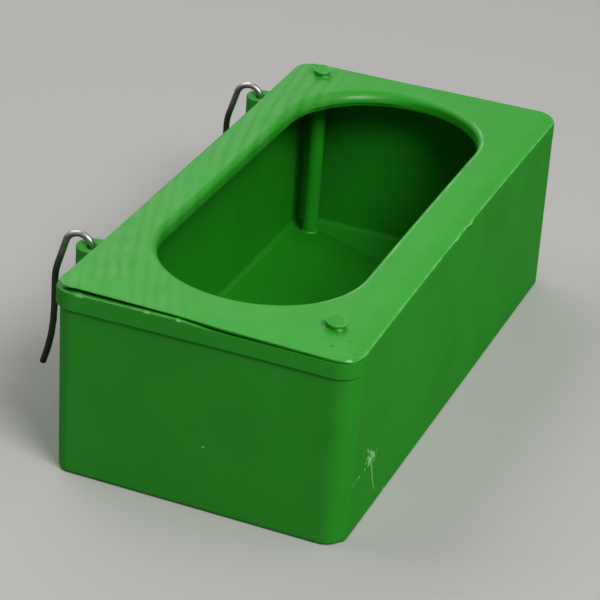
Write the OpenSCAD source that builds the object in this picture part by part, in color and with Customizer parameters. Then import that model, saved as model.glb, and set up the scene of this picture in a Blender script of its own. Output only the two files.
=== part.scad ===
// Seed cup for a small bird cage: a moulded cup, a cover riveted on its rim and two
// wire hooks that swivel in ears on its back.
// The origin is the middle of the flat bottom. +Z is up, +Y is towards the cage, and
// left and right are those of someone who faces the cage.

/* [Cup] */
// Length of the cup over its rim, along the cage
cup_length = 130; // [110:1:170]
// Width of the cup over its rim, out from the cage
cup_width = 63.4; // [56:0.2:90]
// Height of the rim above the flat bottom
cup_height = 40; // [32:0.5:60]
// Radius of the upright corners at the rim
corner_radius = 5; // [4:0.25:8]
// Thickness of the walls
wall_thickness = 1.6; // [1.2:0.1:2.2]
// Thickness of the floor
floor_thickness = 1.6; // [1.2:0.1:3]
// How far each wall leans in from the rim to the bottom
wall_lean = 0.4; // [0.1:0.1:1]
// Radius of the outer edge round the bottom
bottom_radius = 1.2; // [0.5:0.1:2]
// Radius of the fillet round the floor inside
floor_radius = 2; // [0.5:0.1:3]

/* [Rim] */
// Height of the thicker band round the rim
band_height = 4; // [2.5:0.1:6]
// How far the band stands out from the wall below it
band_step = 0.45; // [0.2:0.05:0.8]
// Radius of the band's outer edges
band_edge_radius = 0.35; // [0.1:0.05:0.6]

/* [Cover] */
// Thickness of the cover
cover_thickness = 1; // [0.8:0.1:1.6]
// How far the cover's edge lies inside the edge of the rim
cover_inset = 0.5; // [0.2:0.05:1]
// Radius of the cover's upper edge
cover_edge_radius = 0.8; // [0.3:0.05:1]
// Width of the cover's border beyond the left end of the opening
left_border = 11.9; // [8.5:0.1:24]
// Width of the cover's border beyond the right end of the opening
right_border = 8.9; // [8.5:0.1:24]
// Width of the cover's border in front of the opening
front_border = 11; // [9:0.1:14]
// Width of the cover's border behind the opening, on the side of the cage
back_border = 9.6; // [9:0.1:14]
// Radius over which the cover rolls down into the opening
roll_radius = 1; // [0.5:0.05:1.5]
// Height of the lip round the opening, from the cover's top face down
lip_height = 3; // [2.2:0.1:5]

/* [Posts] */
// How far a post stands past the end of the opening, along the cup
post_past_end = 1.1; // [-6:0.1:1.5]
// How far a post stands past the side of the opening, out from the cage or towards it
post_past_side = 1.7; // [1:0.1:2.2]
// Diameter of a post where it meets the cover
post_diameter = 3.4; // [3:0.1:5]
// Diameter of a post at the floor
foot_diameter = 3.8; // [3.4:0.1:6]
// Diameter of the pin that passes through the cover
pin_diameter = 2.8; // [2:0.1:3]
// Clearance round a pin in the cover's hole
pin_clearance = 0.1; // [0.05:0.01:0.2]
// Diameter of the flattened head on the pin
head_diameter = 4.2; // [3.6:0.1:5.4]
// Height of the head above the cover
head_height = 1.5; // [0.8:0.1:2]
// Height of the straight rim of the head
head_rim = 0.5; // [0.3:0.05:0.7]
// Depth of the dish in the top of the head
head_dish = 0.2; // [0.1:0.05:0.3]

/* [Ears] */
// Distance of the left ear's hole from the left end of the rim
left_ear_inset = 25.5; // [14:0.5:45]
// Distance of the right ear's hole from the right end of the rim
right_ear_inset = 17.5; // [14:0.5:45]
// Distance of the holes from the edge of the rim
ear_reach = 2.8; // [2.6:0.1:5]
// Radius of the ear's round end
ear_radius = 3.4; // [2.8:0.1:4]
// Height of an ear
ear_height = 6; // [4:0.1:9]
// Depth of the ear's top face below the rim
ear_drop = 2.4; // [1:0.1:5]
// Clearance round the wire in its hole
hook_clearance = 0.05; // [0.02:0.01:0.1]
// Depth of the flared mouth of the hole
mouth_depth = 1.6; // [1.3:0.05:2]
// How much the mouth's radius grows towards the top
mouth_flare = 0.7; // [0.6:0.05:0.9]

/* [Hooks] */
// Diameter of the steel wire
wire_diameter = 1.4; // [1.2:0.05:1.6]
// Radius of the bend that hangs over the cage's wire, to the middle of the wire
hook_radius = 3.05; // [2.6:0.05:3.6]
// Depth at which this bend starts inside the mouth of the hole
hook_sink = 1.25; // [0.9:0.05:1.3]
// Angle at which the wire slants outwards below the bend
slant_angle = 17; // [5:1:30]
// Length of the slanting stretch
slant_length = 6; // [2:0.5:10]
// Radius of the bend that turns the wire upright again
knee_radius = 12; // [6:0.5:20]
// Length of the upright stretch
drop_length = 6; // [1:0.5:12]
// Radius of the tail's outward curve
tail_radius = 42; // [25:1:60]
// Angle through which the tail curves outwards
tail_angle = 18; // [5:1:25]
// Gap between the underside of the ear and the bend of the wire's foot
foot_gap = 0.2; // [0.1:0.05:0.6]
// Radius of the bend at the wire's foot
foot_radius = 1.5; // [1.2:0.1:2]
// Length of the straight end of the foot
foot_length = 1.4; // [0.6:0.1:1.4]

/* [Hidden] */
$fn = 64;
// Facets per turn of the shapes that are blended into a block
block_facets = 32;
// Steps in a quarter turn of a rounded edge
edge_steps = 5;
// Share of its diameter that the wire keeps in a bend
bend_share = 0.99;
// How far a bend laps into a straight stretch
bend_lap = 0.05;
// How far a cut runs past the face that it opens
overrun = 0.5;
// Share of the room in its corner that the floor's fillet may take
fillet_share = 0.8;
// Share of the head's overhang that rests on the cover, where the rest flares out above it
head_root_share = 0.4;
plastic_green = "#3fae49";
cover_green = "#4cb653";
steel_grey = "#a9a9a4";

half_length = cup_length / 2;
half_width = cup_width / 2;
wall_corner = corner_radius - band_step;
cavity_corner = wall_corner - wall_thickness;
floor_fillet = min(floor_radius, fillet_share * (cavity_corner - wall_lean));
cover_top = cup_height + cover_thickness;
cover_corner = corner_radius - cover_inset;
cover_edge = min(cover_edge_radius, cover_thickness);
opening_length = cup_length - left_border - right_border;
opening_width = cup_width - front_border - back_border;
opening_x = (left_border - right_border) / 2;
opening_y = (front_border - back_border) / 2;
opening_radius = opening_width / 2;
opening_reach = opening_length / 2 - opening_radius;
post_x = opening_length / 2 + post_past_end;
post_y = opening_radius + post_past_side;
lip_bottom = cover_top - lip_height;
left_ear_x = -half_length + left_ear_inset;
right_ear_x = half_length - right_ear_inset;
ear_y = half_width + ear_reach;
ear_top = cup_height - ear_drop;
ear_bottom = ear_top - ear_height;
hole_radius = wire_diameter / 2 + hook_clearance;
bend_z = ear_top - hook_sink;
leg_length = bend_z - (ear_bottom - foot_gap);

// Points of a round arc about a centre, from one angle to another
function arc(centre, radius, from, to, steps = edge_steps) =
    [for (i = [0:steps]) let (a = from + (to - from) * i / steps)
        centre + radius * [cos(a), sin(a)]];

// A block with round upright corners. Its side view is a list of [inset, height] points,
// where the inset is measured inwards from the block's outline.
module block(length, width, corner, side) {
    low = side[0][1];
    high = side[len(side) - 1][1];
    outline = concat([[0, low]], [for (p = side) [corner - p[0], p[1]]], [[0, high]]);
    hull()
        for (x = [-1, 1], y = [-1, 1])
            translate([x * (length / 2 - corner), y * (width / 2 - corner), 0])
                rotate_extrude($fn = block_facets)
                    polygon(outline);
}

// The outside of the walls, drawn in towards the bottom and round at the bottom edge
module walls() {
    side = concat(
        arc([wall_lean + bottom_radius, bottom_radius], bottom_radius, 270, 180),
        [[0, cup_height - band_edge_radius]]);
    block(cup_length - 2 * band_step, cup_width - 2 * band_step, wall_corner, side);
}

// The thicker band round the rim, with its two outer edges rounded
module band() {
    r = band_edge_radius;
    side = concat(
        arc([r, cup_height - band_height + r], r, 270, 180),
        arc([r, cup_height - r], r, 180, 90));
    block(cup_length, cup_width, corner_radius, side);
}

// The space inside the cup, which runs past the rim to leave the top open
module cavity() {
    inset = wall_thickness + band_step;
    low = floor_thickness;
    side = concat(
        arc([wall_lean + floor_fillet, low + floor_fillet], floor_fillet, 270, 180),
        [[0, cup_height], [0, cup_height + overrun]]);
    block(cup_length - 2 * inset, cup_width - 2 * inset, cavity_corner, side);
}

// One child at each post, at the two corners of the cup that are riveted
module at_posts() {
    for (side = [-1, 1])
        translate([opening_x + side * post_x, opening_y + side * post_y, 0])
            children();
}

// A post from the floor to the cover, its pin and the head that holds the cover down
module post() {
    pin_r = pin_diameter / 2;
    head_r = head_diameter / 2;
    top = cover_top + head_height;
    root_r = pin_r + pin_clearance + head_root_share * (head_r - pin_r);
    dish_r = head_r - head_dish;
    translate([0, 0, floor_thickness / 2])
        cylinder(d1 = foot_diameter, d2 = post_diameter, h = cup_height - floor_thickness / 2);
    rotate_extrude()
        polygon([
            [0, cup_height - overrun],
            [pin_r, cup_height - overrun],
            [pin_r, cover_top],
            [root_r, cover_top],
            [head_r, top - head_rim],
            [head_r, top - head_dish],
            [dish_r, top],
            [pin_r, top - head_dish],
            [0, top - head_dish]]);
}

// An ear on the back wall: a round lug on a short neck, with an upright hole that opens
// into a flared mouth where the wire starts to bend
module ear(x) {
    translate([x, ear_y, ear_bottom])
        difference() {
            union() {
                cylinder(r = ear_radius, h = ear_height);
                translate([-ear_radius, -ear_reach - band_step - wall_thickness / 2, 0])
                    cube([2 * ear_radius, ear_reach + band_step + wall_thickness / 2, ear_height]);
            }
            translate([0, 0, -overrun])
                cylinder(r = hole_radius, h = ear_height + 2 * overrun);
            translate([0, 0, ear_height - mouth_depth])
                cylinder(r1 = hole_radius, r2 = hole_radius + mouth_flare, h = mouth_depth);
            translate([0, 0, ear_height])
                cylinder(r = hole_radius + mouth_flare, h = overrun);
        }
}

module cup_body() {
    color(plastic_green) {
        difference() {
            union() {
                walls();
                band();
            }
            cavity();
        }
        at_posts() post();
        ear(left_ear_x);
        ear(right_ear_x);
    }
}

// The solid that a side view sweeps out round the opening: a whole turn at each round
// end and straight between them. The side view is a list of [radius, height] points, from
// its lowest to its highest.
module opening_sweep(side) {
    low = side[0][1];
    high = side[len(side) - 1][1];
    mirrored = [for (i = [len(side) - 1:-1:0]) [-side[i][0], side[i][1]]];
    translate([opening_x, opening_y, 0]) {
        for (x = [-1, 1])
            translate([x * opening_reach, 0, 0])
                rotate_extrude()
                    polygon(concat([[0, low]], side, [[0, high]]));
        rotate([90, 0, 90])
            translate([0, 0, -opening_reach])
                linear_extrude(2 * opening_reach)
                    polygon(concat(side, mirrored));
    }
}

// The plate of the cover and, under it, the block that the lip is cut from
module cover_blank() {
    lip_r = opening_radius + cover_thickness;
    block(cup_length - 2 * cover_inset, cup_width - 2 * cover_inset, cover_corner, concat(
        [[0, cup_height]],
        arc([cover_edge, cover_top - cover_edge], cover_edge, 180, 90)));
    opening_sweep([[lip_r, lip_bottom], [lip_r, cover_top - cover_thickness / 2]]);
}

// The cover, rolled down into a lip round its opening, with a hole for each pin
module cover() {
    r = opening_radius;
    color(cover_green)
        difference() {
            cover_blank();
            opening_sweep(concat(
                [[r, lip_bottom - overrun]],
                arc([r + roll_radius, cover_top - roll_radius], roll_radius, 180, 90),
                [[r + roll_radius, cover_top + overrun]]));
            at_posts()
                translate([0, 0, cup_height - overrun])
                    cylinder(d = pin_diameter + 2 * pin_clearance, h = cover_thickness + 2 * overrun);
        }
}

// Wire bent in its own plane, from the origin up its y axis. Each stretch is [0, length]
// for a straight one, or [radius, angle] for a bend, to the left where the angle is
// positive. A bend laps a little way into the straight stretches at its ends.
module wire(stretches, i = 0) {
    if (i < len(stretches)) {
        radius = stretches[i][0];
        amount = stretches[i][1];
        if (radius == 0) {
            rotate([-90, 0, 0])
                cylinder(d = wire_diameter, h = amount);
            translate([0, amount, 0])
                wire(stretches, i + 1);
        } else {
            side = sign(amount);
            lap = asin(bend_lap / radius);
            translate([-side * radius, 0, 0]) {
                rotate([0, 0, (side > 0 ? 0 : 180 + amount) - lap])
                    rotate_extrude(angle = abs(amount) + 2 * lap)
                        translate([radius, 0])
                            circle(d = bend_share * wire_diameter);
                rotate([0, 0, amount])
                    translate([side * radius, 0, 0])
                        wire(stretches, i + 1);
            }
        }
    }
}

// A hook, from the foot under the ear up through the hole, over the cage's wire and
// down the far side of it to the tail
module hook(x) {
    color(steel_grey)
        translate([x, ear_y, ear_bottom - foot_gap])
            rotate([90, 0, 90]) {
                wire([
                    [0, leg_length],
                    [hook_radius, -(180 - slant_angle)],
                    [0, slant_length],
                    [knee_radius, -slant_angle],
                    [0, drop_length],
                    [tail_radius, tail_angle]]);
                mirror([0, 1, 0])
                    wire([[foot_radius, -90], [0, foot_length]]);
            }
}

module left_hook() {
    hook(left_ear_x);
}

module right_hook() {
    hook(right_ear_x);
}

cup_body();
cover();
left_hook();
right_hook();
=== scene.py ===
"""Looks of a moulded seed cup for a bird cage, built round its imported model.

The cup is one surface carried round a rectangle, the cover another one carried round the
rim and the opening together, and each hook a wire swept along its bends. Lengths are in
metres, in the part's own frame: +Z up, +Y towards the cage, the origin on the bottom.
"""

import math
from functools import partial

import bmesh
import bpy
import numpy as np
from bpy.props import FloatProperty, FloatVectorProperty, PointerProperty
from mathutils import Matrix, Vector


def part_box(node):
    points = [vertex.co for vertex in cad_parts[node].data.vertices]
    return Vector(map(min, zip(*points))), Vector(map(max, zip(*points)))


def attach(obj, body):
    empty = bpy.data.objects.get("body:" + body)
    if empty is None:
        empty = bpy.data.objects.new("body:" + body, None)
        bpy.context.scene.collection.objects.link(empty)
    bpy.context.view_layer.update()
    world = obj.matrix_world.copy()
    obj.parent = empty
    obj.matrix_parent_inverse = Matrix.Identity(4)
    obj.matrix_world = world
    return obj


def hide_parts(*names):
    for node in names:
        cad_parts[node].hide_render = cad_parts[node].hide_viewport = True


bl_info = {
    "name": "Seed Cup",
    "version": (1, 0, 0),
    "blender": (4, 5, 0),
    "location": "3D View > Sidebar > Seed Cup",
    "description": "Builds a moulded seed cup with a riveted cover and two wire hooks",
    "category": "Object",
}

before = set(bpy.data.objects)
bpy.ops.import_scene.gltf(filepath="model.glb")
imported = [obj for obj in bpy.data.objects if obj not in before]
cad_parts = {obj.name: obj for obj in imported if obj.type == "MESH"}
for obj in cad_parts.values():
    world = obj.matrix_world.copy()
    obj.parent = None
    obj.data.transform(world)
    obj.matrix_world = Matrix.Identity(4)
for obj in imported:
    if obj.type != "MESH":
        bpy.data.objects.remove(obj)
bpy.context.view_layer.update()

MM = 0.001
CUP_LOW, CUP_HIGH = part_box("cup_body")
COVER_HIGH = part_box("cover")[1]
LEFT_LOW, LEFT_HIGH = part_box("left_hook")
RIGHT_LOW, RIGHT_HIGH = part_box("right_hook")
# Where the two hooks lie along X
HOOK_X = {
    "left_hook": (LEFT_LOW.x + LEFT_HIGH.x) / 2,
    "right_hook": (RIGHT_LOW.x + RIGHT_HIGH.x) / 2,
}


def linear(code):
    """The linear red, green and blue of an sRGB colour written in hex."""
    s = np.array([int(code[i : i + 2], 16) for i in (1, 3, 5)]) / 255
    return tuple(np.where(s <= 0.04045, s / 12.92, ((s + 0.055) / 1.055) ** 2.4))


def length(name, description, millimetres):
    """A property that holds a length, with its default given in millimetres."""
    shown = {"name": name, "description": description, "unit": "LENGTH", "precision": 5}
    return FloatProperty(default=millimetres * MM, min=0, **shown)


def colour(name, description, code):
    """A property that holds a colour, with its default given in hex."""
    shown = {"name": name, "description": description, "subtype": "COLOR"}
    return FloatVectorProperty(default=linear(code), size=3, min=0, max=1, **shown)


class CupSizes(bpy.types.PropertyGroup):
    """Sizes of the cup, its band, its posts and its ears."""

    corner: length("Corner radius", "Radius of the upright corners at the rim", 5)
    wall: length("Wall", "Thickness of the walls", 1.6)
    floor: length("Floor", "Thickness of the floor", 1.6)
    lean: length("Lean", "How far a wall leans in from the rim to the bottom", 0.4)
    bottom: length("Bottom edge", "Radius of the edge round the bottom", 0.7)
    fillet: length("Floor fillet", "Radius of the fillet round the floor inside", 1.1)
    rim: length("Rim height", "Height of the rim above the bottom", 40)
    band: length("Band height", "Height of the thicker band round the rim", 3.3)
    step: length("Band step", "How far the band stands out from the wall", 0.45)
    band_edge: length("Band edge", "Radius of the band's lower edge", 0.15)
    groove: length("Groove", "Depth of the groove where the wall meets the band", 0.22)
    rim_edge: length("Rim edge", "Radius of the rim's outer edge in its back half", 0.25)
    crisp_edge: length("Crisp edge", "Radius of the rim's outer edge in its front half", 0.12)
    back_step: length("Back step", "How much further the band stands out at the back", 0.3)
    back_lean: length("Back lean", "How much more the back wall leans in", 0.5)
    flash: length("Flash", "Height of the moulding flash along the rim", 0.14)
    left_rise: length("Left rise", "How much higher the rim stands at the left end, behind", 0.6)
    bow: length("Bow", "How far the front wall bows in at the rim", 0.6)
    left_bow: length("Left bow", "How far the left wall bows in at the rim", 0.35)
    twist: length("Twist", "How far the bottom is turned against the rim, at its ends", 0.55)
    post: length("Post", "Radius of a post where it meets the cover", 1.7)
    post_foot: length("Post foot", "Radius of a post at the floor", 1.9)
    pin: length("Pin", "Radius of the pin that passes through the cover", 1.4)
    head: length("Head", "Radius of the flattened head on the pin", 2.15)
    head_height: length("Head height", "Height of a flattened head above the cover", 1.1)
    ear: length("Ear", "Radius of the ear's round end", 3.4)
    ear_height: length("Ear height", "Height of an ear", 6)
    ear_top: length("Ear top", "Height of the ear's top above the bottom", 37.6)
    ear_y: length("Ear hole", "Distance of the ears' holes behind the middle", 34.5)
    hole: length("Hole", "Radius of the hole in an ear", 0.75)
    mouth: length("Mouth", "Radius of the flared mouth of the hole", 1.45)


class CoverSizes(bpy.types.PropertyGroup):
    """Sizes of the cover and of its opening."""

    thickness: length("Thickness", "Thickness of the cover", 1)
    end_radius: length("Opening radius", "Radius of the opening's round ends", 21.4)
    reach: length("Opening reach", "Distance of those ends' centres from its middle", 33.2)
    opening_x: length("Opening along", "Middle of the opening, along the cup", 1.5)
    opening_y: length("Opening across", "Middle of the opening, towards the cage", 0.7)
    roll: length("Roll", "Radius over which the cover rolls down into the opening", 1.3)
    roll_far: length("Far roll", "Radius of the roll at the opening's far end, behind", 2.6)
    lip: length("Lip", "Height of the lip round the opening", 3)
    inset: length("Inset", "How far its edge lies inside the rim's edge in its back half", 0.4)
    inset_front: length("Front inset", "How far its edge lies inside the rim's edge in front", 0.25)
    drawn: length("Drawn in", "How much further its back edge lies inside, towards the left", 1.0)
    overhang: length("Overhang", "How far its edge stands out over the rim in front", 0.1)
    edge: length("Edge", "Height of its edge over the rim in front", 0.7)
    edge_back: length("Back edge", "Height of its edge over the rim in its back half", 0.75)
    edge_round: length("Edge radius", "Radius of its upper edge", 0.12)
    border: length("Border", "Width over which the border rises from the edge", 4.4)
    facet: length("Facet", "Width of the worn facet on its edge at the left front corner", 0.75)
    crease: length("Crease", "Depth of the crease in the roll at the opening's near end", 0.28)
    lift_back: length("Back lift", "How far the free corner at the left, behind, lifts", 1.1)
    lift_front: length("Front lift", "How far the free corner at the right, in front, lifts", 0.15)


class HookSizes(bpy.types.PropertyGroup):
    """Sizes of a wire hook."""

    wire: length("Wire", "Radius of the steel wire", 0.7)
    bend: length("Bend", "Radius of the bend over the cage's wire", 3.05)
    slant: length("Slant", "Length of the slanting stretch", 6)
    knee: length("Knee", "Radius of the bend that turns the wire upright", 12)
    drop: length("Drop", "Length of the upright stretch", 6)
    tail: length("Tail", "Radius of the tail's outward curve", 42)
    foot: length("Foot", "Radius of the bend under the ear", 1.5)
    foot_end: length("Foot end", "Length of the straight end under the ear", 1.4)
    leg_low: length("Leg foot", "Height at which the foot's bend starts", 31.4)
    leg_high: length("Leg top", "Height at which the bend over the cage's wire starts", 36.35)


class Finishes(bpy.types.PropertyGroup):
    """Colours of the materials."""

    cup: colour("Cup", "Colour of the cup's plastic", "#249F1C")
    cover: colour("Cover", "Colour of the cover's plastic", "#26A31C")
    stress: colour("Scuff", "Colour of plastic that is scuffed or stretched", "#A8F29D")
    wire: colour("Wire", "Colour of the zinc on the wire", "#CFCDC8")
    floor: colour("Floor", "Colour of the floor", "#C4C2BF")


# Where a head holds the cover down, from the opening's middle. The other head stands opposite
HELD = np.array([55.7, 23.1]) * MM
# Distance of the cover's free corners from the line between the heads
FREE = 54 * MM

# The heads, formed a little off their posts: side, and drift in mm along X, Y and Z
HEADS = [(-1, (0.95, 0, 0.25)), (1, (1.4, 0.4, 0.4))]
# Nicks of flash on the left end's rim: place along Y, width and height in mm
RIM_NICKS = [(25.1, 0.8, 0.22), (11.1, 0.5, 0.14), (4.6, 0.35, 0.24)]

# Burrs on the cover's front edge: place along X, width and height in mm
EDGE_BURRS = [(1.6, 1.1, 0.32), (-6.8, 1.0, 0.14)]

# Dark specks in the plastic: x, y, z and radius in mm
CUP_SPECKS = [(-64.5, 18.2, 29.3, 0.4), (-64.4, 10.7, 20.9, 0.3), (-64.4, -9.1, 19.5, 0.25)]
COVER_SPECKS = [
    (-57.7, -26.8, 41, 0.42),
    (-60.6, -24.5, 41, 0.5),
    (-52.1, 20.6, 41.5, 0.35),
    (-53.6, 24.2, 41.5, 0.25),
]

# Strokes of the scuff on the front wall: x and z of their start and their end and their
# reach to each side in mm, and their strength
SCUFF = [
    (-53.2, 16.4, -52.2, 15.3, 0.4, 0.7),
    (-51.5, 15.0, -48.6, 12.8, 0.6, 0.8),
    (-49.2, 13.1, -51.5, 12.9, 0.7, 1.0),
    (-47.8, 12.2, -49.3, 11.7, 0.4, 0.6),
    (-51.7, 14.0, -51.8, 12.0, 0.6, 0.85),
    (-50.4, 13.7, -50.7, 11.8, 0.6, 0.75),
    (-47.5, 13.9, -47.4, 12.6, 0.3, 0.35),
    (-52.0, 14.2, -53.1, 14.2, 0.5, 0.6),
    (-52.9, 13.6, -54.0, 13.6, 0.4, 0.35),
    (-53.8, 12.5, -53.8, 12.1, 0.6, 0.7),
    (-56.5, 12.3, -56.9, 12.1, 0.6, 0.55),
    (-57.5, 12.4, -60.6, 12.3, 0.3, 0.25),
    (-50.0, 11.7, -48.7, 7.8, 0.5, 0.6),
    (-48.7, 7.8, -46.9, 4.0, 0.4, 0.4),
    (-41.4, 1.3, -40.9, 0.8, 0.5, 0.45),
]

# Pale spots on the left end: a fleck on its wall, and painted highlights on the burrs under
# its rim. Each is y, z, half width and half height in mm, and strength
PALE_SPOTS = [
    (-1.6, 14.4, 0.4, 0.4, 0.6),
    (25.1, 40.3, 1.3, 0.4, 0.5),
    (11.1, 40.4, 0.9, 0.3, 0.6),
    (4.6, 40.35, 0.6, 0.3, 0.8),
]

# The lamps: place, length of a side and power in watts. All are aimed at the cup
LAMPS = {
    "key": ((-0.34, -0.47, 0.69), 0.35, 4.3),
    "front": ((0, -0.48, 0.76), 1.0, 2.3),
    "right": ((0.54, 0.42, 0.58), 0.6, 1.6),
    "back": ((0, 0.58, 0.69), 0.7, 2.2),
}

# The camera: its place, its axes to the right, up and back, and its lens on a 36 mm sensor
CAMERA_PLACE = (-0.425185, -0.148857, 0.254206)
CAMERA_AXES = (
    (0.37181, -0.92579, 0.06833),
    (0.41329, 0.23099, 0.88082),
    (-0.83124, -0.29925, 0.46850),
)
CAMERA_LENS = 143.82


# Grids, profiles and the pieces that are made from them


def grid_faces(rows, columns, start, close_columns):
    """Corner numbers of the quads between neighbouring points of a grid. The rows close
    into a ring, and the columns do too where asked."""
    steps = np.arange(columns - (not close_columns))
    i, j = np.meshgrid(np.arange(rows), steps, indexing="ij")
    after, beside = (i + 1) % rows, (j + 1) % columns
    corners = [i * columns + j, after * columns + j, after * columns + beside, i * columns + beside]
    return start + np.stack(corners, -1).reshape(-1, 4)


def make_piece(name, shells, material, body, marks=None):
    """One object from shells, each a grid of points whose rows run round it. A shell whose
    columns don't close gets a flat cap on its first and its last column. The marks are values
    from 0 to 1 by name, kept on the points for the material to read, which is given by name."""
    points, corners, counts, start = [], [], [], 0
    for grid, closed in shells:
        rows, columns = grid.shape[:2]
        points.append(grid.reshape(-1, 3))
        quads = grid_faces(rows, columns, start, closed)
        corners.append(quads.ravel())
        counts.append(np.full(len(quads), 4))
        if not closed:
            for column in (0, columns - 1):
                corners.append(start + np.arange(rows) * columns + column)
                counts.append([rows])
        start += rows * columns
    points, corners = np.concatenate(points), np.concatenate(corners)
    counts = np.concatenate(counts)
    mesh = bpy.data.meshes.new(name)
    mesh.vertices.add(len(points))
    mesh.vertices.foreach_set("co", points.ravel())
    mesh.loops.add(len(corners))
    mesh.loops.foreach_set("vertex_index", corners)
    mesh.polygons.add(len(counts))
    mesh.polygons.foreach_set("loop_start", np.cumsum(counts) - counts)
    mesh.polygons.foreach_set("loop_total", counts)
    mesh.update(calc_edges=True)
    for mark, amount in (marks or {}).items():
        mesh.attributes.new(mark, "FLOAT", "POINT").data.foreach_set("value", amount.ravel())
    work = bmesh.new()
    work.from_mesh(mesh)
    bmesh.ops.recalc_face_normals(work, faces=work.faces)
    work.to_mesh(mesh)
    work.free()
    mesh.shade_smooth()
    mesh.set_sharp_from_angle(angle=math.radians(38))
    piece = bpy.data.objects.new(name, mesh)
    bpy.context.scene.collection.objects.link(piece)
    mesh.materials.append(bpy.data.materials[material])
    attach(piece, body)
    return piece


def smooth_step(x, low, high):
    """0 below low, 1 above high, and a smooth cubic between them."""
    t = np.clip((x - low) / (high - low), 0, 1)
    return t * t * (3 - 2 * t)


def bell(x, middle, width):
    """The bell curve e^-((x - middle) / width)^2."""
    return np.exp(-(((x - middle) / width) ** 2))


def waver(along, wavelength, seed):
    """Smooth noise from -1 to 1 along a line: four sines of nearby lengths, summed."""
    draw = np.random.default_rng(seed)
    total = 0
    for share in (1, 0.62, 0.41, 0.23):
        phase = draw.uniform(0, 2 * np.pi)
        total = total + np.sin(2 * np.pi * along / (wavelength * share) + phase)
    return total / 4


def rounded(corners, steps=5):
    """A profile through corners of [across, up, radius]. Each corner is replaced by the arc
    of that radius that touches the two sides that meet there, and gets a point a little
    way along each side so that the flat beside it stays flat."""
    corners = np.array(corners, float)
    here, radius = corners[:, :2], corners[:, 2]
    profile = [here[0]]
    for k in range(1, len(here) - 1):
        if radius[k] == 0:
            profile.append(here[k])
            continue
        back, on = here[k - 1] - here[k], here[k + 1] - here[k]
        back, on = back / np.linalg.norm(back), on / np.linalg.norm(on)
        half = 0.5 * math.acos(np.clip(back @ on, -1, 1))
        reach = radius[k] / math.tan(half)
        middle = here[k] + (back + on) / np.linalg.norm(back + on) * radius[k] / math.sin(half)
        first, last = here[k] + reach * back, here[k] + reach * on
        u, v = first - middle, last - middle
        sweep = np.arccos(np.clip(u @ v / (u @ u), -1, 1))
        t = np.linspace(0, 1, steps + 1)[:, None]
        arc = middle + (np.sin((1 - t) * sweep) * u + np.sin(t * sweep) * v) / np.sin(sweep)
        margin = 0.3 * radius[k]
        profile += [first + margin * back, *arc, last + margin * on]
    profile.append(here[-1])
    return np.array(profile)


def rim_loop(cup, spacing, fan=20):
    """Points round a rectangle, each with the outward direction there. A corner is one
    point with a fan of directions, so that point plus radius times direction is a
    rectangle with round corners."""
    half = [(CUP_HIGH.x - CUP_LOW.x) / 2 - cup.corner, -CUP_LOW.y - cup.corner]
    centres, angles = [], []
    corners = np.array([[1, -1], [1, 1], [-1, 1], [-1, -1]]) * half
    for k in range(4):
        here, there = corners[k], corners[(k + 1) % 4]
        centres.append(np.repeat(here[None], fan, 0))
        angles.append((k - 1 + np.linspace(0, 1, fan)) * 90)
        count = math.ceil(np.linalg.norm(there - here) / spacing)
        t = np.arange(1, count)[:, None] / count
        centres.append(here + t * (there - here))
        angles.append(np.full(count - 1, k * 90.0))
    angles = np.radians(np.concatenate(angles))
    return np.concatenate(centres), np.stack([np.cos(angles), np.sin(angles)], -1)


def run_length(line):
    """Distance along a line of points, from its first one."""
    steps = np.linalg.norm(np.diff(line, axis=0), axis=1)
    return np.concatenate([[0], np.cumsum(steps)])


def carried(centres, out, profile):
    """The grid of a profile carried round a loop: loop point plus the profile's distance
    times the outward direction, at the profile's height."""
    across = np.broadcast_to(profile[..., 0], (len(centres), profile.shape[-2]))
    up = np.broadcast_to(profile[..., 1], across.shape)
    flat = centres[:, None] + across[..., None] * out[:, None]
    return np.concatenate([flat, up[..., None]], -1)


def in_front(out):
    """1 where a rim point looks to the front, falling to 0 round the corner."""
    return smooth_step(-out[:, 1], 0.7, 1)


def warped(grid, cup):
    """The grid after the moulding has cooled: the front and the left wall bow in towards the
    rim as 1 - (place / half length)^2, and the bottom is turned a little against the rim."""
    x, y = grid[..., 0], grid[..., 1]
    high = np.clip(grid[..., 2] / cup.rim, 0, 1)
    # The front wall bows most a little left of its middle
    deepest, front_half, left_half = -8 * MM, 62 * MM, 31 * MM
    front = smooth_step(-y, 5 * MM, 30 * MM) * np.clip(1 - ((x - deepest) / front_half) ** 2, 0, 1)
    left = smooth_step(-x, 40 * MM, 64 * MM) * np.clip(1 - (y / left_half) ** 2, 0, 1)
    turn = (1 - high) * cup.twist / CUP_HIGH.x
    move_x = high * cup.left_bow * left + turn * y
    move_y = high * cup.bow * front - turn * x
    return grid + np.stack([move_x, move_y, np.zeros_like(x)], -1)


def full_turn(turns):
    """Evenly spaced angles of one turn, as a column."""
    return np.arange(turns)[:, None] / turns * 2 * np.pi


def revolved(x, y, section):
    """The grid of a section of [radius, height], given for each angle of a full turn, about
    an upright axis at x, y."""
    angle = full_turn(len(section))
    out = np.concatenate([np.cos(angle), np.sin(angle)], 1)
    return carried(np.repeat([[x, y]], len(section), 0), out, section)


# Materials

# Settings of nodes: a smooth map of a range, a mix of two colours, and sums of two or three
SMOOTH = {"interpolation_type": "SMOOTHSTEP"}
COLOURS = {"data_type": "RGBA"}
TIMES = {"operation": "MULTIPLY"}
TIMES_PLUS = {"operation": "MULTIPLY_ADD"}
LARGER = {"operation": "MAXIMUM"}


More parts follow.
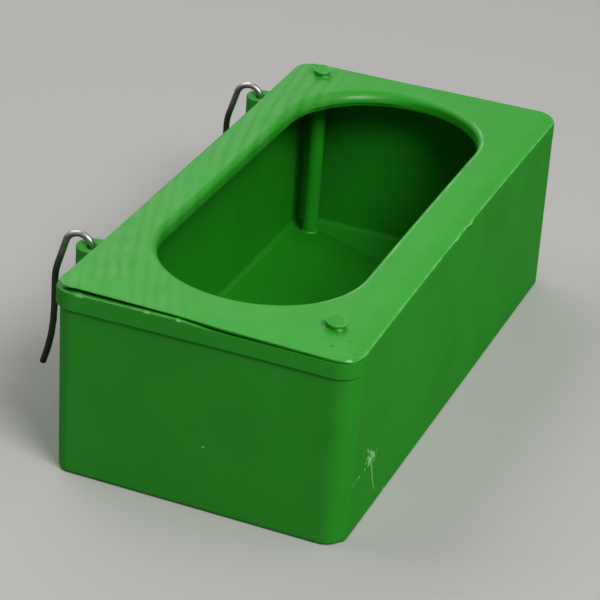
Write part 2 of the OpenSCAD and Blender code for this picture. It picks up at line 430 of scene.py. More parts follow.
def add(tree, kind, inputs=(), output=0, **settings):
    """Adds a shader node with its settings and its inputs, by name or as a list from the
    first one on, where an input is a value or a link. Gives the socket of one output."""
    node = tree.nodes.new("ShaderNode" + kind)
    for key, value in settings.items():
        setattr(node, key, value)
    for key, value in inputs.items() if isinstance(inputs, dict) else enumerate(inputs):
        if isinstance(value, bpy.types.NodeSocket):
            tree.links.new(value, node.inputs[key])
        else:
            node.inputs[key].default_value = value
    return node.outputs[output] if node.outputs else None


def new_tree(owner):
    """Empties the node tree of a material or a world, and gives the function that adds to it."""
    owner.use_nodes = True
    owner.node_tree.nodes.clear()
    return partial(add, owner.node_tree)


def rgba(shade, share=1.0):
    """A colour times a share, with full alpha."""
    return (*(channel * share for channel in shade), 1.0)


def seen_by(node, shares):
    """How much of a colour or a light a ray gets: the largest share of the kinds that it is."""
    rays = node("LightPath").node.outputs
    amount = 0.0
    for kind, share in shares.items():
        part = node("Math", {0: rays[f"Is {kind} Ray"], 1: share}, **TIMES)
        amount = node("Math", [amount, part], **LARGER)
    return amount


def moulded_plastic(name, base, stress, specks, marks, ink):
    """Injection-moulded polypropylene: pigment right through, a satin gloss from a polished
    tool that has gone a little dull, faint flow of the pigment, and dark specks of
    degraded plastic. The function marks draws what this piece alone has, in the ink."""
    node = new_tree(bpy.data.materials.new(name))
    place = node("TexCoord", output="Object")
    # The pigment drifts over about 20 mm, by a few parts in a hundred
    drift = node("TexNoise", {"Vector": place, "Scale": 1 / (20 * MM), "Detail": 3.0})
    drift = node("MapRange", [drift, 0.3, 0.7], **SMOOTH)
    light = (*(channel * 1.04 + 0.001 for channel in base), 1.0)
    shade = node("Mix", {0: drift, 6: rgba(base, 0.95), 7: light}, 2, **COLOURS)
    shade = marks(node, place, shade, ink)
    # Where the mark is set the colour pales towards the scuff colour: whitened flash on the heads'
    # skirts, and painted highlights on the heads' rings, the rim's left crest and the cover's front
    # edges
    pale = node("Attribute", output="Fac", attribute_name="whitening_and_highlight")
    pale = node("Math", [pale, 0.5], **TIMES)
    shade = node("Mix", {0: pale, 6: shade, 7: rgba(stress)}, 2, **COLOURS)
    # Painted shade: where the mark named inside is set, inside the cup and under the cover's edge,
    # the colour is darkened by up to half
    inside = node("Attribute", output="Fac", attribute_name="inside")
    painted_shade_mix = {0: inside, 6: shade, 7: (0.5, 0.5, 0.5, 1.0)}
    shade = node("Mix", painted_shade_mix, 2, blend_type="MULTIPLY", **COLOURS)
    for x, y, z, radius in specks:
        there = (x * MM, y * MM, z * MM)
        away = node("VectorMath", [place, there], "Value", operation="DISTANCE")
        near = [away, 0.3 * radius * MM, 1.2 * radius * MM, 0.65, 0.0]
        near = node("MapRange", near, **SMOOTH)
        shade = node("Mix", {0: near, 6: shade, 7: rgba(base, 0.2)}, 2, **COLOURS)
    # The tool's polish varies over about 6 mm, use has rubbed edges smoother, and where the
    # mark named inside is set the surface is more matt, with less gloss
    rough = node("TexNoise", {"Vector": place, "Scale": 1 / (6 * MM), "Detail": 4.0})
    rough = node("MapRange", [rough, 0.3, 0.7, 0.42, 0.5], **SMOOTH)
    rubbed = node("Attribute", output="Fac", attribute_name="polish")
    left = node("Math", [rubbed, -0.72, 1.0], **TIMES_PLUS)
    rough = node("Math", [rough, left], **TIMES)
    rough = node("Math", [inside, 0.2, rough], **TIMES_PLUS)
    gloss = node("Math", [inside, -0.3, 0.4], **TIMES_PLUS)
    # Sink leaves the surface uneven by some hundredths of a millimetre over 9 mm, and its
    # fine grain is drawn at 0.35 mm, as coarse as it needs to show
    sink = node("TexNoise", {"Vector": place, "Scale": 1 / (9 * MM), "Detail": 2.0})
    grain = node("TexNoise", {"Vector": place, "Scale": 1 / (0.35 * MM), "Detail": 1.0})
    bump = node("Bump", {"Strength": 0.5, "Distance": 0.12 * MM, "Height": sink})
    fine = {"Strength": 0.4, "Distance": 0.01 * MM, "Height": grain, "Normal": bump}
    shader = {
        "Base Color": shade,
        "Roughness": rough,
        "IOR": 1.49,
        "Specular IOR Level": gloss,
        "Normal": node("Bump", fine),
        # Light goes about a millimetre into the plastic, green the furthest
        "Subsurface Weight": 0.06,
        "Subsurface Radius": (0.3, 1.0, 0.3),
        "Subsurface Scale": 1.2 * MM,
    }
    node("OutputMaterial", {"Surface": node("BsdfPrincipled", shader)})


def zinc_wire(name, base):
    """Drawn steel wire with a thin dull zinc coat: a grey metal, with fine grain and stained
    darker in patches."""
    node = new_tree(bpy.data.materials.new(name))
    place = node("TexCoord", output="Object")
    stain = node("TexNoise", {"Vector": place, "Scale": 1 / (3 * MM), "Detail": 4.0})
    clean = node("MapRange", [stain, 0.35, 0.65], **SMOOTH)
    shade = node("Mix", {0: clean, 6: rgba(base, 0.55), 7: rgba(base)}, 2, **COLOURS)
    # Painted shade and a painted dark reflection: the wire is darkened below the bend that hangs on
    # the cage, from 36 mm down to 30 mm
    height = node("SeparateXYZ", [place], "Z")
    painted_dark_below = node("MapRange", [height, 36 * MM, 30 * MM, 0.0, 0.8], **SMOOTH)
    shade = node("Mix", {0: painted_dark_below, 6: shade, 7: rgba(base, 0.12)}, 2, **COLOURS)
    rough = node("MapRange", [stain, 0.3, 0.7, 0.42, 0.26], **SMOOTH)
    grain = node("TexNoise", {"Vector": place, "Scale": 1 / (0.3 * MM), "Detail": 2.0})
    bump = node("Bump", {"Strength": 0.3, "Distance": 0.02 * MM, "Height": grain})
    shader = {"Base Color": shade, "Metallic": 1.0, "Roughness": rough, "Normal": bump}
    node("OutputMaterial", {"Surface": node("BsdfPrincipled", shader)})


def pale_floor(name, base):
    """Matt painted board. The camera sees it pale, and glossy surfaces see a darker one, as
    the ground round the real cup is."""
    node = new_tree(bpy.data.materials.new(name))
    seen = {"Camera": 1.0, "Transmission": 1.0, "Diffuse": 1.0, "Glossy": 0.12}
    black = (0.0, 0.0, 0.0, 1.0)
    shade = node("Mix", {0: seen_by(node, seen), 6: black, 7: rgba(base)}, 2, **COLOURS)
    shader = node("BsdfPrincipled", {"Base Color": shade, "Roughness": 0.9})
    node("OutputMaterial", {"Surface": shader})


def flow_marks(node, place, shade, base):
    """Flow marks in the cover: thin dark lines 2.7 mm apart with paler bands between, which
    curve from the left end into the back border. They are lines of one
    u = y - 0.27 x + 1.4 x^2, in metres."""
    x, y, _ = node("SeparateXYZ", [place]).node.outputs
    slope = node("Math", [x, 1.4, -0.27], **TIMES_PLUS)
    line = node("Math", [x, slope, y], **TIMES_PLUS)
    along = node("Math", [x, 0.35], **TIMES)
    wave = {
        "Vector": node("CombineXYZ", {"X": line, "Y": along}),
        "Scale": 0.314 / (2.7 * MM),
        "Distortion": 3.5,
        "Detail": 3.0,
        "Detail Scale": 1.3,
    }
    wave = node("TexWave", wave, "Fac", wave_type="BANDS", bands_direction="X")
    wave = node("MapRange", [wave, 0.0, 0.8], **SMOOTH)
    pale = (base[0] + 0.038, base[1] * 1.01, base[2] + 0.028, 1.0)
    banded = node("Mix", {0: wave, 6: rgba(base, 0.9), 7: pale}, 2, **COLOURS)
    # They show in the back border and at the left end, in patches of about 9 mm
    back = node("MapRange", [y, 15 * MM, 22 * MM], **SMOOTH)
    left = node("MapRange", [x, -38 * MM, -50 * MM], **SMOOTH)
    rear = node("MapRange", [y, -4 * MM, 14 * MM, 0.0, 0.75], **SMOOTH)
    left = node("Math", [left, rear], **TIMES)
    patch = node("TexNoise", {"Vector": place, "Scale": 1 / (9 * MM), "Detail": 2.0})
    patch = node("MapRange", [patch, 0.32, 0.62, 0.2, 0.95], **SMOOTH)
    amount = node("Math", [back, left], **LARGER)
    amount = node("Math", [amount, patch], **TIMES)
    return node("Mix", {0: amount, 6: shade, 7: banded}, 2, **COLOURS)


def streak(node, place, start, end, reach):
    """1 on the line between two points [x, z] of the front wall, falling to 0 at the reach to
    each side and past the ends."""
    start, end = np.array(start) * MM, np.array(end) * MM
    span = float(np.linalg.norm(end - start))
    x, z = (end - start) / span
    run, aside = (
        node("VectorMath", [place, (a, 0, b)], "Value", operation="DOT_PRODUCT")
        for a, b in ((x, z), (z, -x))
    )
    run = node("Math", [run, float(start @ (x, z))], operation="SUBTRACT")
    aside = node("Math", [aside, float(start @ (z, -x))], operation="SUBTRACT")
    aside = node("Math", [aside], operation="ABSOLUTE")
    begun = node("MapRange", [run, -0.25 * MM, 0.1 * MM], **SMOOTH)
    ended = [run, span - 0.1 * MM, span + 0.25 * MM, 1.0, 0.0]
    ended = node("MapRange", ended, **SMOOTH)
    beside = [aside, 0.3 * reach * MM, reach * MM, 1.0, 0.0]
    beside = node("MapRange", beside, **SMOOTH)
    within = node("Math", [begun, ended], **TIMES)
    return node("Math", [within, beside], **TIMES)


def wear_and_highlight_marks(node, place, shade, stress):
    """A scuff low on the cup's front wall, near the left corner: whitened strokes in a patch
    a few millimetres across, with a fine scratch down from it and a trail of flecks to the
    left. Pale spots sit on the left end: a fleck, and painted highlights under its rim."""
    marks = 0.0
    for x, z, end_x, end_z, reach, strength in SCUFF:
        line = streak(node, place, (x, z), (end_x, end_z), reach)
        line = node("Math", [line, strength], **TIMES)
        marks = node("Math", [marks, line], **LARGER)
    # The strokes are ragged, and lie on the front wall alone
    fleck = node("TexNoise", {"Vector": place, "Scale": 1 / (0.5 * MM), "Detail": 2.0})
    ragged = node("MapRange", [fleck, 0.35, 0.55, 0.55, 1.0], **SMOOTH)
    depth = node("SeparateXYZ", [place], "Y")
    front = node("MapRange", [depth, -30.4 * MM, -30.7 * MM], **SMOOTH)
    for share in (ragged, front):
        marks = node("Math", [marks, share], **TIMES)
    # The spots under the rim are painted highlights on its burrs
    for y, z, wide, tall, strength in PALE_SPOTS:
        scale = (1 / (4 * MM), 1 / (wide * MM), 1 / (tall * MM))
        size = node("VectorMath", [place, scale], **TIMES)
        there = (CUP_LOW.x * scale[0], y * MM * scale[1], z * MM * scale[2])
        away = node("VectorMath", [size, there], "Value", operation="DISTANCE")
        spot = node("MapRange", [away, 0.4, 1.0, strength, 0.0], **SMOOTH)
        marks = node("Math", [marks, spot], **LARGER)
    return node("Mix", {0: marks, 6: shade, 7: rgba(stress)}, 2, **COLOURS)


# Steps that build the cup


class SEEDCUP_OT_materials(bpy.types.Operator):
    """Make the plastics and the wire's zinc"""

    bl_idname = "seedcup.materials"
    bl_label = "Materials"

    def execute(self, context):
        finish = context.scene.seedcup_finish
        cup, cover, stress = tuple(finish.cup), tuple(finish.cover), tuple(finish.stress)
        moulded_plastic("cup_polypropylene", cup, stress, CUP_SPECKS, wear_and_highlight_marks, stress)
        moulded_plastic("cover_polypropylene", cover, stress, COVER_SPECKS, flow_marks, cover)
        zinc_wire("zinc_wire", tuple(finish.wire))
        return {"FINISHED"}


def cup_profile(cup, outer_edge):
    """The cup's section, from the middle of the floor over the rim to the middle of the
    bottom, with that radius on the rim's outer edge."""
    wall = cup.corner - cup.step
    inside = wall - cup.wall
    under = cup.rim - cup.band
    fillet = min(cup.fillet, 0.8 * (inside - cup.lean))
    cap = 0.1 * MM
    return rounded(
        [
            [cap, cup.floor, 0],
            [inside - cup.lean, cup.floor, fillet],
            [inside, cup.rim, 0.25 * MM],
            [cup.corner, cup.rim, outer_edge],
            [cup.corner, under, cup.band_edge],
            [wall - cup.groove, under, 0.08 * MM],
            [wall - cup.groove, under - 0.35 * MM, 0.1 * MM],
            [wall - cup.lean * cup.band / cup.rim, under - 0.75 * MM, 0.3 * MM],
            [wall - cup.lean, 0, cup.bottom],
            [cap, 0, 0],
        ]
    )


class SEEDCUP_OT_cup(bpy.types.Operator):
    """Make the cup's walls, floor, band and rim"""

    bl_idname = "seedcup.cup"
    bl_label = "Cup"

    def execute(self, context):
        cup, cover = context.scene.seedcup_cup, context.scene.seedcup_cover
        centres, out = rim_loop(cup, 0.5 * MM)
        inside = cup.corner - cup.step - cup.wall
        under = cup.rim - cup.band
        # The rim's outer edge is blunt behind and crisp in front
        profile, crisp = cup_profile(cup, cup.rim_edge), cup_profile(cup, cup.crisp_edge)
        across, up = profile[:, 0], profile[:, 1]
        outer = across > inside + 0.3 * MM
        low = outer & (up < under + 1e-6)
        behind = smooth_step(centres[:, 1], -4 * MM, 2 * MM)[:, None]
        section = crisp + behind[..., None] * (profile - crisp)
        # The back wall stands further in than the band, and leans more
        back = smooth_step(out[:, 1], 0, 0.9)[:, None]
        section[..., 0] -= back * low * (cup.back_step + cup.back_lean * (under - up) / under)
        # In front, the step under the band runs out past the corners into a plain wall
        front = smooth_step(-out[:, 1], 0.88, 0.995)[:, None]
        section[..., 0] += front * low * cup.step
        inset = cover.inset_front * in_front(out)[:, None] + (1 - behind) * cover.overhang
        section[..., 0] -= inset * outer * np.clip(up / under, 0, 1)
        zone = np.flatnonzero(outer & (np.abs(up - under + 0.3 * MM) < 0.8 * MM))
        share = np.linspace(0, 1, len(zone))[:, None]
        first, last = section[:, zone[:1]], section[:, zone[-1:]]
        plain = first + share * (last - first)
        section[:, zone] += front[..., None] * (plain - section[:, zone])
        grid = carried(centres, out, section)
        # The band rises behind, at the left end
        raised = smooth_step(-out[:, 0], 0.3, 0.95) * smooth_step(centres[:, 1], -4 * MM, 6 * MM)
        grid[..., 2] += cup.left_rise * raised[:, None] * np.clip((up - under) / cup.band, 0, 1)
        # Flash stands on the rim's outer edge, higher in some places than in others, with a
        # few nicks along the left end
        along = run_length(centres + cup.corner * out)
        flash = 0.45 + 0.35 * waver(along, 23 * MM, 3) + 0.3 * waver(along, 4.1 * MM, 5)
        flash = cup.flash * flash
        for y, width, height in RIM_NICKS:
            beside = np.where(out[:, 0] < -0.9, centres[:, 1] - y * MM, 1)
            flash = flash + height * MM * bell(beside, 0, width * MM)
        flash = flash * behind[:, 0]
        edge = bell(across, cup.corner - 0.25 * MM, 0.15 * MM) * (up > cup.rim - 0.3 * MM)
        grid[..., 2] += np.clip(flash, 0, None)[:, None] * edge
        # A painted highlight runs pale along the back half of the left end's crest, stronger where
        # the flash stands higher
        crest_highlight = smooth_step(-out[:, 0], 0.5, 1) * smooth_step(centres[:, 1], -2 * MM, 2 * MM)
        crest_highlight = crest_highlight * np.clip(0.35 + 1.8 * flash / MM + 0.25 * waver(along, 5 * MM, 11), 0, 1)
        crest = bell(across, cup.corner - 0.06 * MM, 0.1 * MM) * (up > cup.rim - 0.2 * MM)
        # Painted shade inside the cup, darkest in its upright corners and lightest on the floor; it
        # makes the inside more matt too
        inner = (across < inside + 1e-6) & (up > cup.bottom) & (up < cup.rim)
        diagonal = np.abs(2 * out[:, :1] * out[:, 1:])
        inner_shade_and_matt = inner * (0.55 + 0.45 * diagonal - 0.15 * (up < 2 * cup.floor))
        shell = make_piece(
            "cup_shell",
            [(warped(grid, cup), False)],
            "cup_polypropylene",
            "cup",
            marks={"whitening_and_highlight": crest_highlight[:, None] * crest, "inside": inner_shade_and_matt},
        )
        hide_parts("cup_body")
        return {"FINISHED"}


def post_section(cup, top, seed, rise):
    """A post's section by angle, with its pin and its flattened head. The head is lumpy, and
    was pressed a little askew: lower in front, higher behind."""
    foot = cup.post_foot + 0.3 * MM
    buried = cup.floor - 0.6 * MM
    crown = top + cup.head_height
    profile = rounded(
        [
            [0.05 * MM, buried, 0],
            [foot, buried, 0],
            [foot, cup.floor, 0],
            [cup.post_foot, cup.floor + 0.3 * MM, 0.2 * MM],
            [cup.post, cup.rim, 0.1 * MM],
            [cup.pin, cup.rim, 0.05 * MM],
            [cup.pin, top, 0.05 * MM],
            [cup.pin + 0.45 * MM, top + 0.02 * MM, 0.1 * MM],
            [cup.head, crown - 0.4 * MM, 0.15 * MM],
            [cup.head - 0.02 * MM, crown, 0.14 * MM],
            [cup.head - 0.6 * MM, crown - 0.26 * MM, 0.2 * MM],
            [0.05 * MM, crown - 0.32 * MM, 0],
        ],
        4,
    )
    angle = full_turn(64)
    lump = 0.05 * np.sin(2 * angle + seed) + 0.03 * np.sin(5 * angle + 2 * seed)
    share = smooth_step(profile[:, 1], top, top + 0.4 * MM)
    across = profile[:, 0] * (1 + share * lump)
    up = profile[:, 1] + share * (rise + 0.1 * across * np.sin(angle + 0.5))
    return profile, np.stack([across, up], -1)


def skirt_section(cup, top, seed):
    """The section by angle of the plastic that the tool squeezed out, a ragged skirt round
    the head's root. It is widest, by a bell curve, towards the front left."""
    profile = rounded(
        [
            [cup.pin, top + 0.02 * MM, 0],
            [cup.pin + 0.3 * MM, top + 0.01 * MM, 0],
            [cup.pin + 0.3 * MM, top + 0.22 * MM, 0.05 * MM],
            [cup.pin + 0.1 * MM, top + 0.75 * MM, 0],
        ]
    )
    angle = full_turn(96)
    swell = bell(angle, np.radians(221), 0.4) + 0.1 * np.sin(9 * angle + seed)
    share = smooth_step(profile[:, 0], cup.pin + 0.1 * MM, cup.pin + 0.3 * MM)
    across = profile[:, 0] + share * 1.05 * MM * swell
    return np.stack([across, np.broadcast_to(profile[:, 1], across.shape)], -1)


class SEEDCUP_OT_posts(bpy.types.Operator):
    """Make the two posts, with the flattened heads that hold the cover down"""

    bl_idname = "seedcup.posts"
    bl_label = "Posts"

    def execute(self, context):
        cup, cover = context.scene.seedcup_cup, context.scene.seedcup_cover
        top = COVER_HIGH.z
        shells, pale = [], []
        for side, drift in HEADS:
            x, y = np.array([cover.opening_x, cover.opening_y]) + side * HELD
            drift = np.array(drift) * MM
            profile, section = post_section(cup, top, side, drift[2])
            grid = revolved(x, y, section)
            off = smooth_step(profile[:, 1], top, top + 0.1 * MM)
            grid[..., :2] += off[:, None] * drift[:2]
            shells.append((grid, False))
            # The head's upper ring is paler, a painted highlight on its raised rim, and the skirt
            # is whitened flash
            ring = smooth_step(profile[:, 0], cup.head - 0.7 * MM, cup.head - 0.3 * MM)
            ring = ring * (profile[:, 1] > top + 0.3 * MM)
            pale.append(0.22 * np.broadcast_to(ring, grid.shape[:2]))
            grid = revolved(x + drift[0], y + drift[1], skirt_section(cup, top, side))
            shells.append((grid, False))
            pale.append(np.full(grid.shape[:2], 0.35))
        whitening_and_highlight = np.concatenate([amount.ravel() for amount in pale])
        make_piece(
            "posts", shells, "cup_polypropylene", "cup", marks={"whitening_and_highlight": whitening_and_highlight}
        )
        return {"FINISHED"}


class SEEDCUP_OT_ears(bpy.types.Operator):
    """Make the two ears that hold the hooks"""

    bl_idname = "seedcup.ears"
    bl_label = "Ears"

    def execute(self, context):
        cup = context.scene.seedcup_cup
        wall_y = -CUP_LOW.y - cup.step
        # The outline from above: a half circle, two sides and a back inside the wall
        angle = np.radians(np.linspace(0, 180, 33))
        round_out = np.stack([np.cos(angle), np.sin(angle)], -1)
        rise = np.linspace(0, wall_y - 1.2 * MM - cup.ear_y, 9)[1:]
        side = np.stack([np.full(8, -cup.ear), rise], -1)
        across = np.linspace(-1, 1, 13)[1:-1]
        back = np.stack([cup.ear * across, np.full(11, rise[-1])], -1)
        loop = np.concatenate([cup.ear * round_out, side, back, side[::-1] * [-1, 1]])
        flats = [np.tile([-1.0, 0], (8, 1)), np.tile([0, -1.0], (11, 1)), np.tile([1.0, 0], (8, 1))]
        out = np.concatenate([round_out, *flats])
        ray = loop / np.linalg.norm(loop, axis=1)[:, None]
        top, low = cup.ear_top, cup.ear_top - cup.ear_height
        hole = rounded(
            [
                [cup.hole + 0.3 * MM, low, 0],
                [cup.hole, low, 0.1 * MM],
                [cup.hole, top - 1.6 * MM, 0.3 * MM],
                [cup.mouth, top - 0.35 * MM, 0.2 * MM],
                [cup.mouth + 0.95 * MM, top, 0.1 * MM],
                [cup.mouth + 1.1 * MM, top, 0],
            ]
        )
        edge = rounded(
            [[-0.9 * MM, top, 0], [0, top, 0.35 * MM], [0, low, 0.25 * MM], [-0.9 * MM, low, 0]]
        )
        shells = []
        for x in HOOK_X.values():
            middle = np.array([x, cup.ear_y])
            inner = carried(np.repeat(middle[None], len(ray), 0), ray, hole)
            outer = carried(middle + loop, out, edge)
            shells.append((np.concatenate([inner, outer], 1), True))
        make_piece("ears", shells, "cup_polypropylene", "cup")
        return {"FINISHED"}


# Points of the worn facet, from the edge's side to its top, as shares of the facet's width
FACET_IN = [0, -0.04, -0.27, -0.5, -0.73, -0.83, -1]
FACET = np.stack([FACET_IN, [-0.96, -0.88, -0.61, -0.34, -0.08, -0.01, 0]], 1)
# How far in the four points below the edge lie, and what is added behind and where it lifts
UNDERCUT = np.array([-0.7, -0.28, -0.22, -0.18]) * MM
UNDERCUT_BEHIND = np.array([0, -0.12, -0.11, -0.1]) * MM
UNDERCUT_LIFTED = np.array([-0.8, -0.9, -0.5, 0.04]) * MM
# Heights of those four points over the rim, and what is added where the cover lifts
FOOT = np.array([0, 0, 0.04, 0.1]) * MM
FOOT_LIFTED = np.array([0, 0.05, 0.2, 0.32]) * MM


def cover_border(cup, cover, centres, out, edge_r, loose, corner, behind):
    """The grid of the cover's edge and border: undercut below, then an arc, which is worn to
    a facet at the left front corner, and a border that rises as 1 - (1 - t)^1.6 to the flat
    top."""
    rise = COVER_HIGH.z - cup.rim
    edge = cover.edge + behind * (cover.edge_back - cover.edge) + corner * (rise - cover.edge)
    turn = np.linspace(0, np.pi / 2, 7)
    arc = cover.edge_round * np.stack([np.cos(turn) - 1, np.sin(turn) - 1], -1)
    arc = arc + corner[..., None] * (cover.facet * FACET - arc)
    t = np.linspace(0, 1, 9)[1:]
    inward = arc[:, -1:, 0] - t * (cover.border + arc[:, -1:, 0])
    lean = UNDERCUT + behind * UNDERCUT_BEHIND + loose * UNDERCUT_LIFTED
    foot = FOOT * (1 - corner) + loose * FOOT_LIFTED
    border = edge + (rise - edge) * (1 - (1 - t) ** 1.6)
    across = edge_r + np.concatenate([lean, arc[..., 0], inward], 1)
    up = cup.rim + np.concatenate([foot, edge + arc[..., 1], border], 1)
    return carried(centres, out, np.stack([across, up], -1))


def cover_opening(cup, cover, base, ray, roll):
    """The grid of the roll into the opening, a quarter circle, and of the lip below it: down
    on the open side and up on the hidden one."""
    top, radius, t = COVER_HIGH.z, cover.end_radius, cover.thickness
    turn = np.linspace(0, np.pi / 2, 9)
    low = top - cover.lip
    lip = np.array(
        [
            [0, low + 0.8 * MM],
            [0, low + 0.25 * MM],
            [0.08 * MM, low + 0.07 * MM],
            [0.25 * MM, low],
            [t - 0.25 * MM, low],
            [t - 0.08 * MM, low + 0.07 * MM],
            [t, low + 0.25 * MM],
            [t, cup.rim - 0.15 * MM],
            [t + 0.15 * MM, cup.rim],
        ]
    )
    lip_r, lip_z = (np.tile(column, (len(ray), 1)) for column in lip.T)
    rolled = radius + roll * (1 - np.sin(turn))
    across = np.concatenate([radius + roll + 0.4 * MM, rolled, radius + lip_r], 1)
    up = np.concatenate([np.full_like(roll, top), top - roll * (1 - np.cos(turn)), lip_z], 1)
    crease = smooth_step(-ray[:, 0], 0.8, 0.97) * smooth_step(ray[:, 1], -0.5, 0)
    up[:, 4:6] -= cover.crease * crease[:, None]
    return np.concatenate([base[:, None] + across[..., None] * ray[:, None], up[..., None]], -1)


class SEEDCUP_OT_cover(bpy.types.Operator):
    """Make the cover, with its rolled opening and its two free corners that lift"""

    bl_idname = "seedcup.cover"
    bl_label = "Cover"

    def execute(self, context):
        cup, cover = context.scene.seedcup_cup, context.scene.seedcup_cover
        centres, out = rim_loop(cup, 0.8 * MM)
        # The cover lies further in towards the back than in front
        behind = smooth_step(centres[:, 1] + cup.corner * out[:, 1], -6 * MM, 6 * MM)[:, None]
        front_inset = (1 - behind) * cover.inset_front * in_front(out)[:, None]
        edge_r = cup.corner - behind * cover.inset - front_inset
        burr = np.zeros(len(out))
        for x, width, height in EDGE_BURRS:
            burr += height * MM * in_front(out) * bell(centres[:, 0], x * MM, width * MM)
        edge_r = edge_r + burr[:, None]
        # Its free corner at the left, behind, is squarer than an arc, and the other rounder
        free = np.clip(-2 * out[:, 0] * out[:, 1], 0, 1)
        edge_r = edge_r * (1 + free * np.where(out[:, 0] < 0, 0.16, -0.1))[:, None]
        # Each rim point looks at the opening's middle line: square across between the two
        # ends' centres, and straight at the nearer centre beyond them
        rim = centres + edge_r * out
        middle = np.array([cover.opening_x, cover.opening_y])
        ends = middle[0] - cover.reach, middle[0] + cover.reach
        base = np.stack([np.clip(rim[:, 0], *ends), np.full(len(rim), middle[1])], -1)
        ray = rim - base
        ray = ray / np.linalg.norm(ray, axis=1)[:, None]
        # Where it lifts most, it is hollow below its edge
        side = np.array([-HELD[1], HELD[0]]) / np.linalg.norm(HELD)
        loose = smooth_step((rim - middle) @ side / FREE, 0.3, 0.8)[:, None]
        corner = smooth_step(-out[:, 0], 0.25, 0.7) * smooth_step(-out[:, 1], 0.25, 0.7)
        corner = corner[:, None]
        outer = cover_border(cup, cover, centres, out, edge_r, loose, corner, behind)
        # The roll into the opening grows towards the far end, behind
        far = smooth_step(rim[:, 0], 20 * MM, 55 * MM) * smooth_step(ray[:, 1], -0.3, 0.3)
        roll = (cover.roll + far * (cover.roll_far - cover.roll))[:, None]
        inner = cover_opening(cup, cover, base, ray, roll)
        share = np.linspace(0, 1, 18)[1:-1, None]
        plate = outer[:, -1, None] * (1 - share) + inner[:, 0, None] * share
        grid = np.concatenate([outer, plate, inner], 1)
        # Its free corners lift, as a power of their distance from the held line
        away = (grid[..., :2] - middle) @ side / FREE
        lift = np.where(away > 0, cover.lift_back * np.abs(away) ** 1.2, cover.lift_front * away**2)
        grid[..., 2] += lift
        # Its back border is narrower towards the left end
        drawn = cover.drawn * np.clip((58 * MM - grid[..., 0]) / (50 * MM), 0, 1)
        grid[..., 1] -= drawn * smooth_step(grid[..., 1], 22.5 * MM, 31 * MM)
        # Painted highlights pale it in patches along its front edge and the opening's front edge.
        # It is rubbed smooth at the facet and at the roll's far end, and matt with painted shade
        # under its edge
        along = run_length(centres)
        front = smooth_step(-out[:, 1], 0.3, 0.8)
        patchy = 0.5 + 0.5 * waver(along, 17 * MM, 7) + 0.4 * waver(along, 3 * MM, 8)
        patchy = np.clip(np.clip(patchy, 0, 1) + burr / (0.2 * MM), 0, 1)
        opening_glint = 0.5 + 0.5 * waver(along, 29 * MM, 9) + 0.2 * waver(along, 4 * MM, 10)
        opening_glint = np.clip(opening_glint, 0, 1)
        lip = smooth_step(ray[:, 0], 0.2, 0.7) * smooth_step(ray[:, 1], 0.2, 0.7)
        opening = outer.shape[1] + plate.shape[1]
        whitening_and_highlight, polish, dull = np.zeros((3, *grid.shape[:2]))
        whitening_and_highlight[:, 7:11] = np.array([0.3, 0.8, 1.0, 0.8]) * (front * patchy)[:, None] * (1 - corner)
        whitening_and_highlight[:, opening + 2 : opening + 4] = (front * opening_glint)[:, None]
        polish[:, 5:9] = corner
        polish[:, opening + 4 : opening + 9] = 0.6 * lip[:, None]
        # Under its edge it is matt and darkened with painted shade
        dull[:, :4] = 1
        piece = make_piece(
            "cover_plate",
            [(warped(grid, cup), True)],
            "cover_polypropylene",
            "cup",
            marks={"whitening_and_highlight": whitening_and_highlight, "polish": polish, "inside": dull},
        )
        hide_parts("cover")
        return {"FINISHED"}


def wire_path(start, heading, stretches):
    """Points [y, z] of a wire bent in its plane. A stretch is [radius, turn, length]: the
    heading, measured from straight up towards +Y, grows by turn over an arc of that
    radius, or stays over that length where radius is none."""
    points, headings = [np.array(start, float)], [heading]
    here = points[0]
    for radius, turn, straight in stretches:
        if radius is None:
            count = max(2, math.ceil(straight / (1.0 * MM)))
            t = np.arange(1, count + 1) / count
            step = np.array([math.sin(heading), math.cos(heading)]) * straight
            new, angles = here + t[:, None] * step, np.full(count, heading)
        else:
            count = max(4, math.ceil(abs(turn) / math.radians(6)))
            angles = heading + turn * np.arange(1, count + 1) / count
            side = math.copysign(1, turn)
            centre = here + side * radius * np.array([math.cos(heading), -math.sin(heading)])
            new = centre - side * radius * np.stack([np.cos(angles), -np.sin(angles)], -1)
            heading = heading + turn
        points.extend(new)
        headings.extend(angles)
        here = new[-1]
    return np.array(points), np.array(headings)


def swept_wire(x, path, headings, radius, turns=20):
    """The grid of a round wire along a path in an upright plane: path point plus radius
    times the circle in the plane square to the heading. Its ends are cut square, and their
    edges are blunted over 0.12 mm to 0.8 of the radius."""
    path = np.concatenate([path[:1], path, path[-1:]])
    headings = np.concatenate([headings[:1], headings, headings[-1:]])
    along = np.stack([np.sin(headings), np.cos(headings)], -1)
    path[1] += 0.12 * MM * along[1]
    path[-2] -= 0.12 * MM * along[-2]
    width = np.full(len(path), radius)
    width[[0, -1]] *= 0.8
    angle = full_turn(turns)
    circle = width * np.cos(angle)
    y = path[:, 0] + circle * np.cos(headings)
    z = path[:, 1] - circle * np.sin(headings)
    return np.stack([x + width * np.sin(angle), y, z], -1)


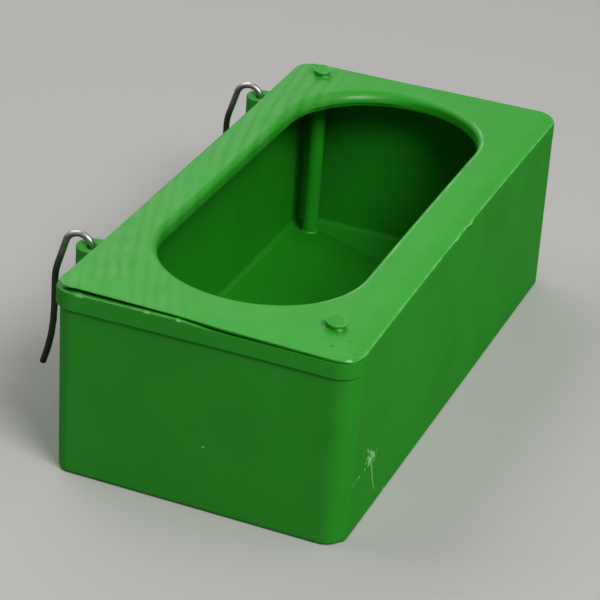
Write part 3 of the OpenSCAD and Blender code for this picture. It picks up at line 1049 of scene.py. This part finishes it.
class SEEDCUP_OT_hooks(bpy.types.Operator):
    """Make the two wire hooks"""

    bl_idname = "seedcup.hooks"
    bl_label = "Hooks"

    def execute(self, context):
        cup, hook = context.scene.seedcup_cup, context.scene.seedcup_hook
        slant, tail = math.radians(17), math.radians(19.5)
        start = [cup.ear_y, hook.leg_low]
        under = [[hook.foot, -math.pi / 2, 0], [None, 0, hook.foot_end]]
        over = [
            [None, 0, hook.leg_high - hook.leg_low],
            [hook.bend, math.pi - slant, 0],
            [None, 0, hook.slant],
            [hook.knee, slant, 0],
            [None, 0, hook.drop],
            [hook.tail, -tail, 0],
        ]
        foot, foot_heading = wire_path(start, math.pi, under)
        arm, arm_heading = wire_path(start, 0, over)
        path = np.concatenate([foot[::-1], arm[1:]])
        headings = np.concatenate([foot_heading[::-1] - math.pi, arm_heading[1:]])
        for name, x in HOOK_X.items():
            grid = swept_wire(x, path, headings, hook.wire)
            piece = make_piece(name + "_wire", [(grid, False)], "zinc_wire", name)
            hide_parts(name)
        return {"FINISHED"}


class SEEDCUP_OT_stage(bpy.types.Operator):
    """Make the floor, the lamps, the world and the camera"""

    bl_idname = "seedcup.stage"
    bl_label = "Stage"

    def execute(self, context):
        scene = context.scene
        scene.view_settings.view_transform = "Standard"
        side = 3.0
        corners = [(-side, -side, 0), (side, -side, 0), (side, side, 0), (-side, side, 0)]
        mesh = bpy.data.meshes.new("floor")
        mesh.from_pydata(corners, [], [(0, 1, 2, 3)])
        floor = bpy.data.objects.new("floor", mesh)
        pale_floor("painted_board", tuple(scene.seedcup_finish.floor))
        mesh.materials.append(bpy.data.materials["painted_board"])
        scene.collection.objects.link(floor)

        # The camera sees a pale room. Metal mirrors it at half that strength, and it lights
        # the object only faintly
        world = bpy.data.worlds.new("studio")
        node = new_tree(world)
        shares = {"Camera": 0.9, "Transmission": 0.9, "Glossy": 0.45, "Diffuse": 0.02}
        room = {"Color": rgba(linear("#EEF0F2")), "Strength": seen_by(node, shares)}
        node("OutputWorld", {"Surface": node("Background", room)})
        scene.world = world

        target = Vector((0, 0, 0.02))
        for name, (place, size, power) in LAMPS.items():
            lamp = bpy.data.lights.new(name, "AREA")
            lamp.size, lamp.energy = size, power
            holder = bpy.data.objects.new(name, lamp)
            holder.location = place
            holder.rotation_euler = (target - Vector(place)).to_track_quat("-Z", "Y").to_euler()
            scene.collection.objects.link(holder)

        lens = bpy.data.cameras.new("camera")
        lens.lens, lens.sensor_width = CAMERA_LENS, 36
        lens.clip_start, lens.clip_end = 0.05, 20
        camera = bpy.data.objects.new("camera", lens)
        turn = Matrix(CAMERA_AXES).transposed().to_4x4()
        camera.matrix_world = Matrix.Translation(CAMERA_PLACE) @ turn
        scene.collection.objects.link(camera)
        scene.camera = camera
        return {"FINISHED"}


class SEEDCUP_PT_panel(bpy.types.Panel):
    """Lists the steps that build the cup"""

    bl_idname = "SEEDCUP_PT_panel"
    bl_label = "Seed Cup"
    bl_space_type = "VIEW_3D"
    bl_region_type = "UI"
    bl_category = "Seed Cup"

    def draw(self, context):
        for step in STEPS:
            self.layout.operator(step.bl_idname)


STEPS = (
    SEEDCUP_OT_materials,
    SEEDCUP_OT_cup,
    SEEDCUP_OT_posts,
    SEEDCUP_OT_ears,
    SEEDCUP_OT_cover,
    SEEDCUP_OT_hooks,
    SEEDCUP_OT_stage,
)
GROUPS = {
    "seedcup_cup": CupSizes,
    "seedcup_cover": CoverSizes,
    "seedcup_hook": HookSizes,
    "seedcup_finish": Finishes,
}


def register():
    """Registers the classes and puts their properties on the scene."""
    for item in (*GROUPS.values(), *STEPS, SEEDCUP_PT_panel):
        bpy.utils.register_class(item)
    for name, group in GROUPS.items():
        setattr(bpy.types.Scene, name, PointerProperty(type=group))


def unregister():
    """Takes the properties and the classes away again."""
    for name in GROUPS:
        delattr(bpy.types.Scene, name)
    for item in (SEEDCUP_PT_panel, *STEPS[::-1], *GROUPS.values()):
        bpy.utils.unregister_class(item)


def main():
    register()
    for step in STEPS:
        group, name = step.bl_idname.split(".")
        getattr(getattr(bpy.ops, group), name)()


if __name__ == "__main__":
    main()
